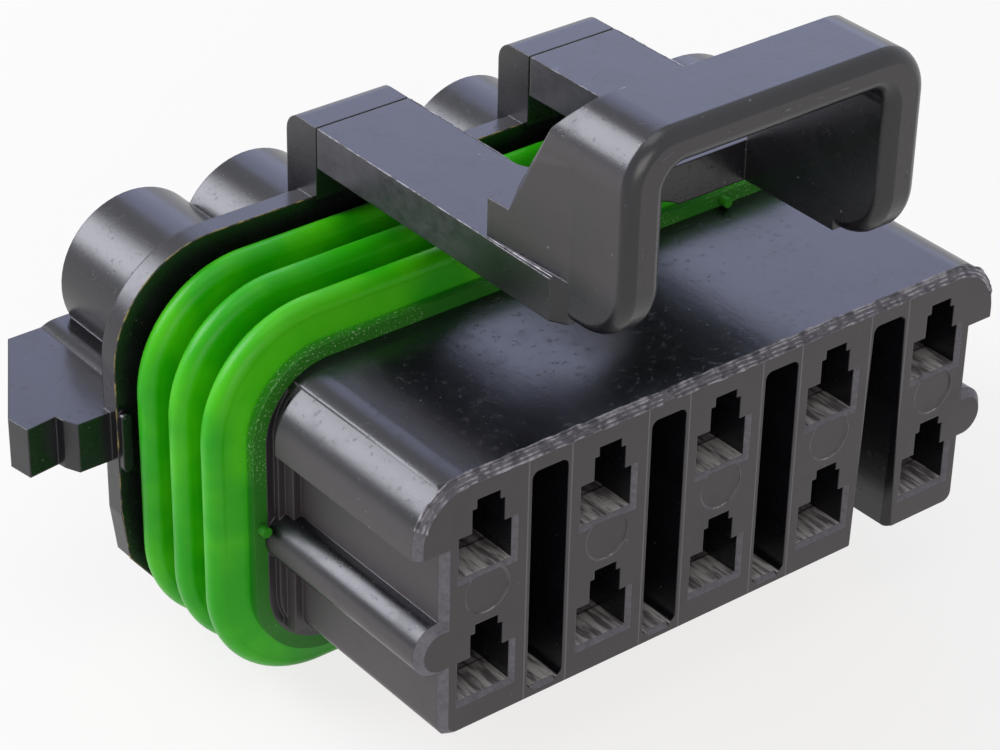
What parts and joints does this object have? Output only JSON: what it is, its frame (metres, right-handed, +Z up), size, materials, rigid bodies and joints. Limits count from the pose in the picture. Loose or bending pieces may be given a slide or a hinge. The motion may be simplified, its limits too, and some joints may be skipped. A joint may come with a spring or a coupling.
{
  "type": "sealed wire connector",
  "caption": "Sealed two-row wire connector with a slotted contact block, a ribbed perimeter seal, round wire towers, side lugs and a lift-up latch loop.",
  "frame": {"origin": "centre of the contact pattern, on the mating face", "axes": "+X to the right and +Z up when looking at the mating face; +Y towards the wire end"},
  "size_m": [0.057, 0.0365, 0.0384],
  "materials": {
    "moulded_body": "satin",
    "seal_rubber": "satin"
  },
  "bodies": {
    "connector": {"housing": "moulded_body", "perimeter_seal": "seal_rubber", "wire_seal_upper_1": "seal_rubber", "wire_seal_upper_2": "seal_rubber", "wire_seal_upper_3": "seal_rubber", "wire_seal_upper_4": "seal_rubber", "wire_seal_upper_5": "seal_rubber", "wire_seal_lower_1": "seal_rubber", "wire_seal_lower_2": "seal_rubber", "wire_seal_lower_3": "seal_rubber", "wire_seal_lower_4": "seal_rubber", "wire_seal_lower_5": "seal_rubber"},
    "latch": {"latch": "moulded_body"}
  },
  "joints": [
    {"name": "latch_lift", "type": "hinge", "parent": "connector", "child": "latch", "pos_m": [0, 0.0224, 0.01545], "axis": [-1, 0, 0], "range_deg": [0, 6], "stiffness_Nm_per_rad": 0.06, "springref_deg": -2.29}
  ]
}
